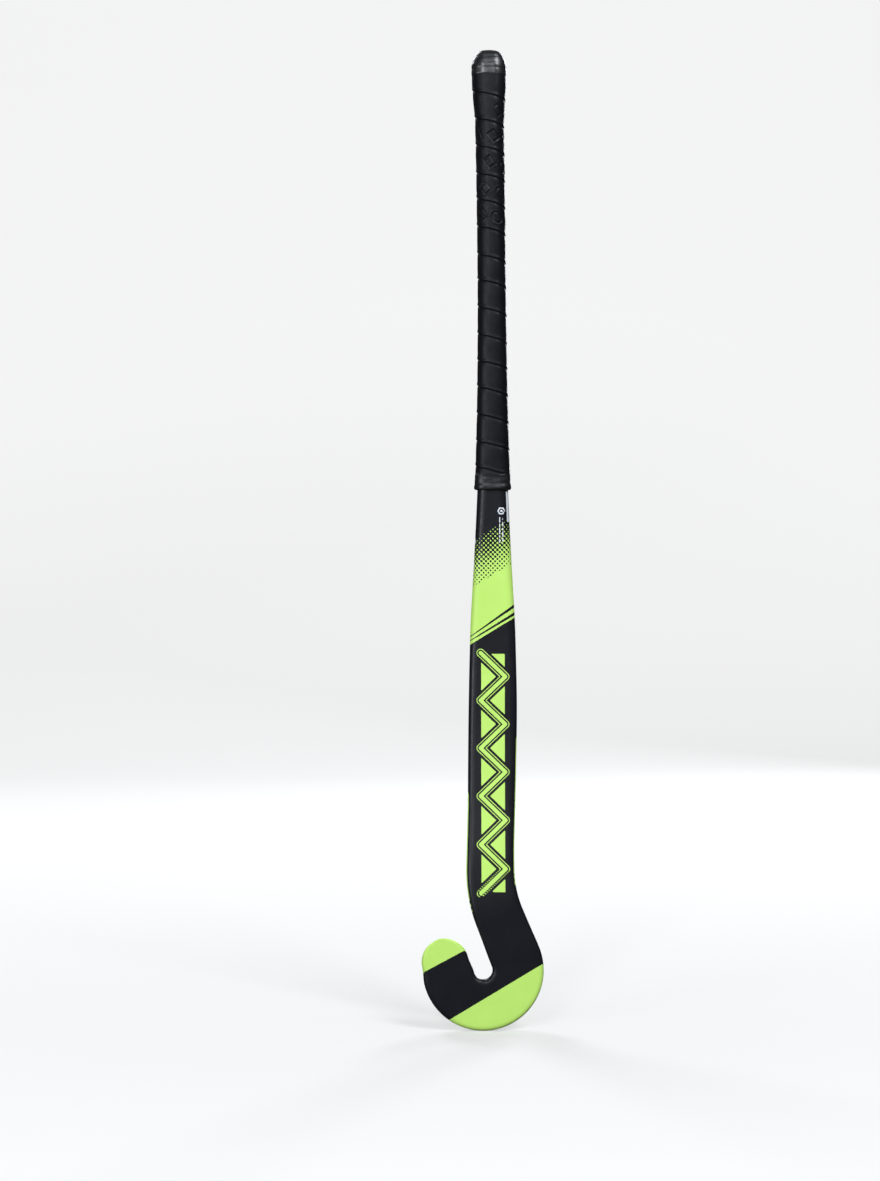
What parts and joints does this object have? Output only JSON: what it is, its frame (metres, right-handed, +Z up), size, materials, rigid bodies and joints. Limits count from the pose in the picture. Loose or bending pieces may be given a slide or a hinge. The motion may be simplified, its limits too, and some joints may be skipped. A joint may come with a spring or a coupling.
{
  "type": "field hockey stick",
  "caption": "Field hockey stick with a J-shaped head, flat playing face, rounded back, bowed shaft and cushioned spiral grip.",
  "frame": {"origin": "sweet spot on the flat playing face, under the shaft's axis and 25 mm above the lowest point of the head", "axes": "+Z up the shaft towards the butt, -Y out of the flat playing face, -X towards the toe"},
  "size_m": [0.1154, 0.0471, 0.927],
  "materials": {
    "black_lacquer": "satin clear coat over black",
    "raw_laminate": "cured carbon and glass laminate",
    "core_foam": "closed-cell structural foam",
    "aramid_ply": "woven aramid",
    "plug_plastic": "moulded",
    "cap_rubber": "matte",
    "underlay_foam": "soft foam sleeve",
    "grip_tape": "tacky cushioned polyurethane",
    "gloss_tape": "glossy vinyl",
    "green_print": "satin lime green",
    "fade_print": "black to green dot fade",
    "dark_print": "satin black",
    "white_print": "screen print",
    "grey_print": "pad print"
  },
  "bodies": {
    "root": {"laminate_skin": "black_lacquer", "toe_side_core_tube": "raw_laminate", "heel_side_core_tube": "raw_laminate", "head_foam_core": "core_foam", "face_strike_ply": "raw_laminate", "heel_edge_ply": "aramid_ply", "butt_plug": "plug_plastic", "end_cap": "cap_rubber", "cushion_underlay": "underlay_foam", "grip_wrap": "grip_tape", "top_finishing_tape": "gloss_tape", "lower_finishing_tape": "gloss_tape", "face_fade_film": "fade_print", "back_fade_film": "fade_print", "face_green_film": "green_print", "back_green_film": "green_print", "face_stripes": "green_print", "back_stripes": "green_print", "face_motif": "green_print", "back_motif": "dark_print", "shaft_label": "white_print", "edge_line": "white_print", "head_emblem": "green_print", "heel_film": "green_print", "toe_film": "green_print", "grip_mark": "grey_print"}
  },
  "joints": []
}
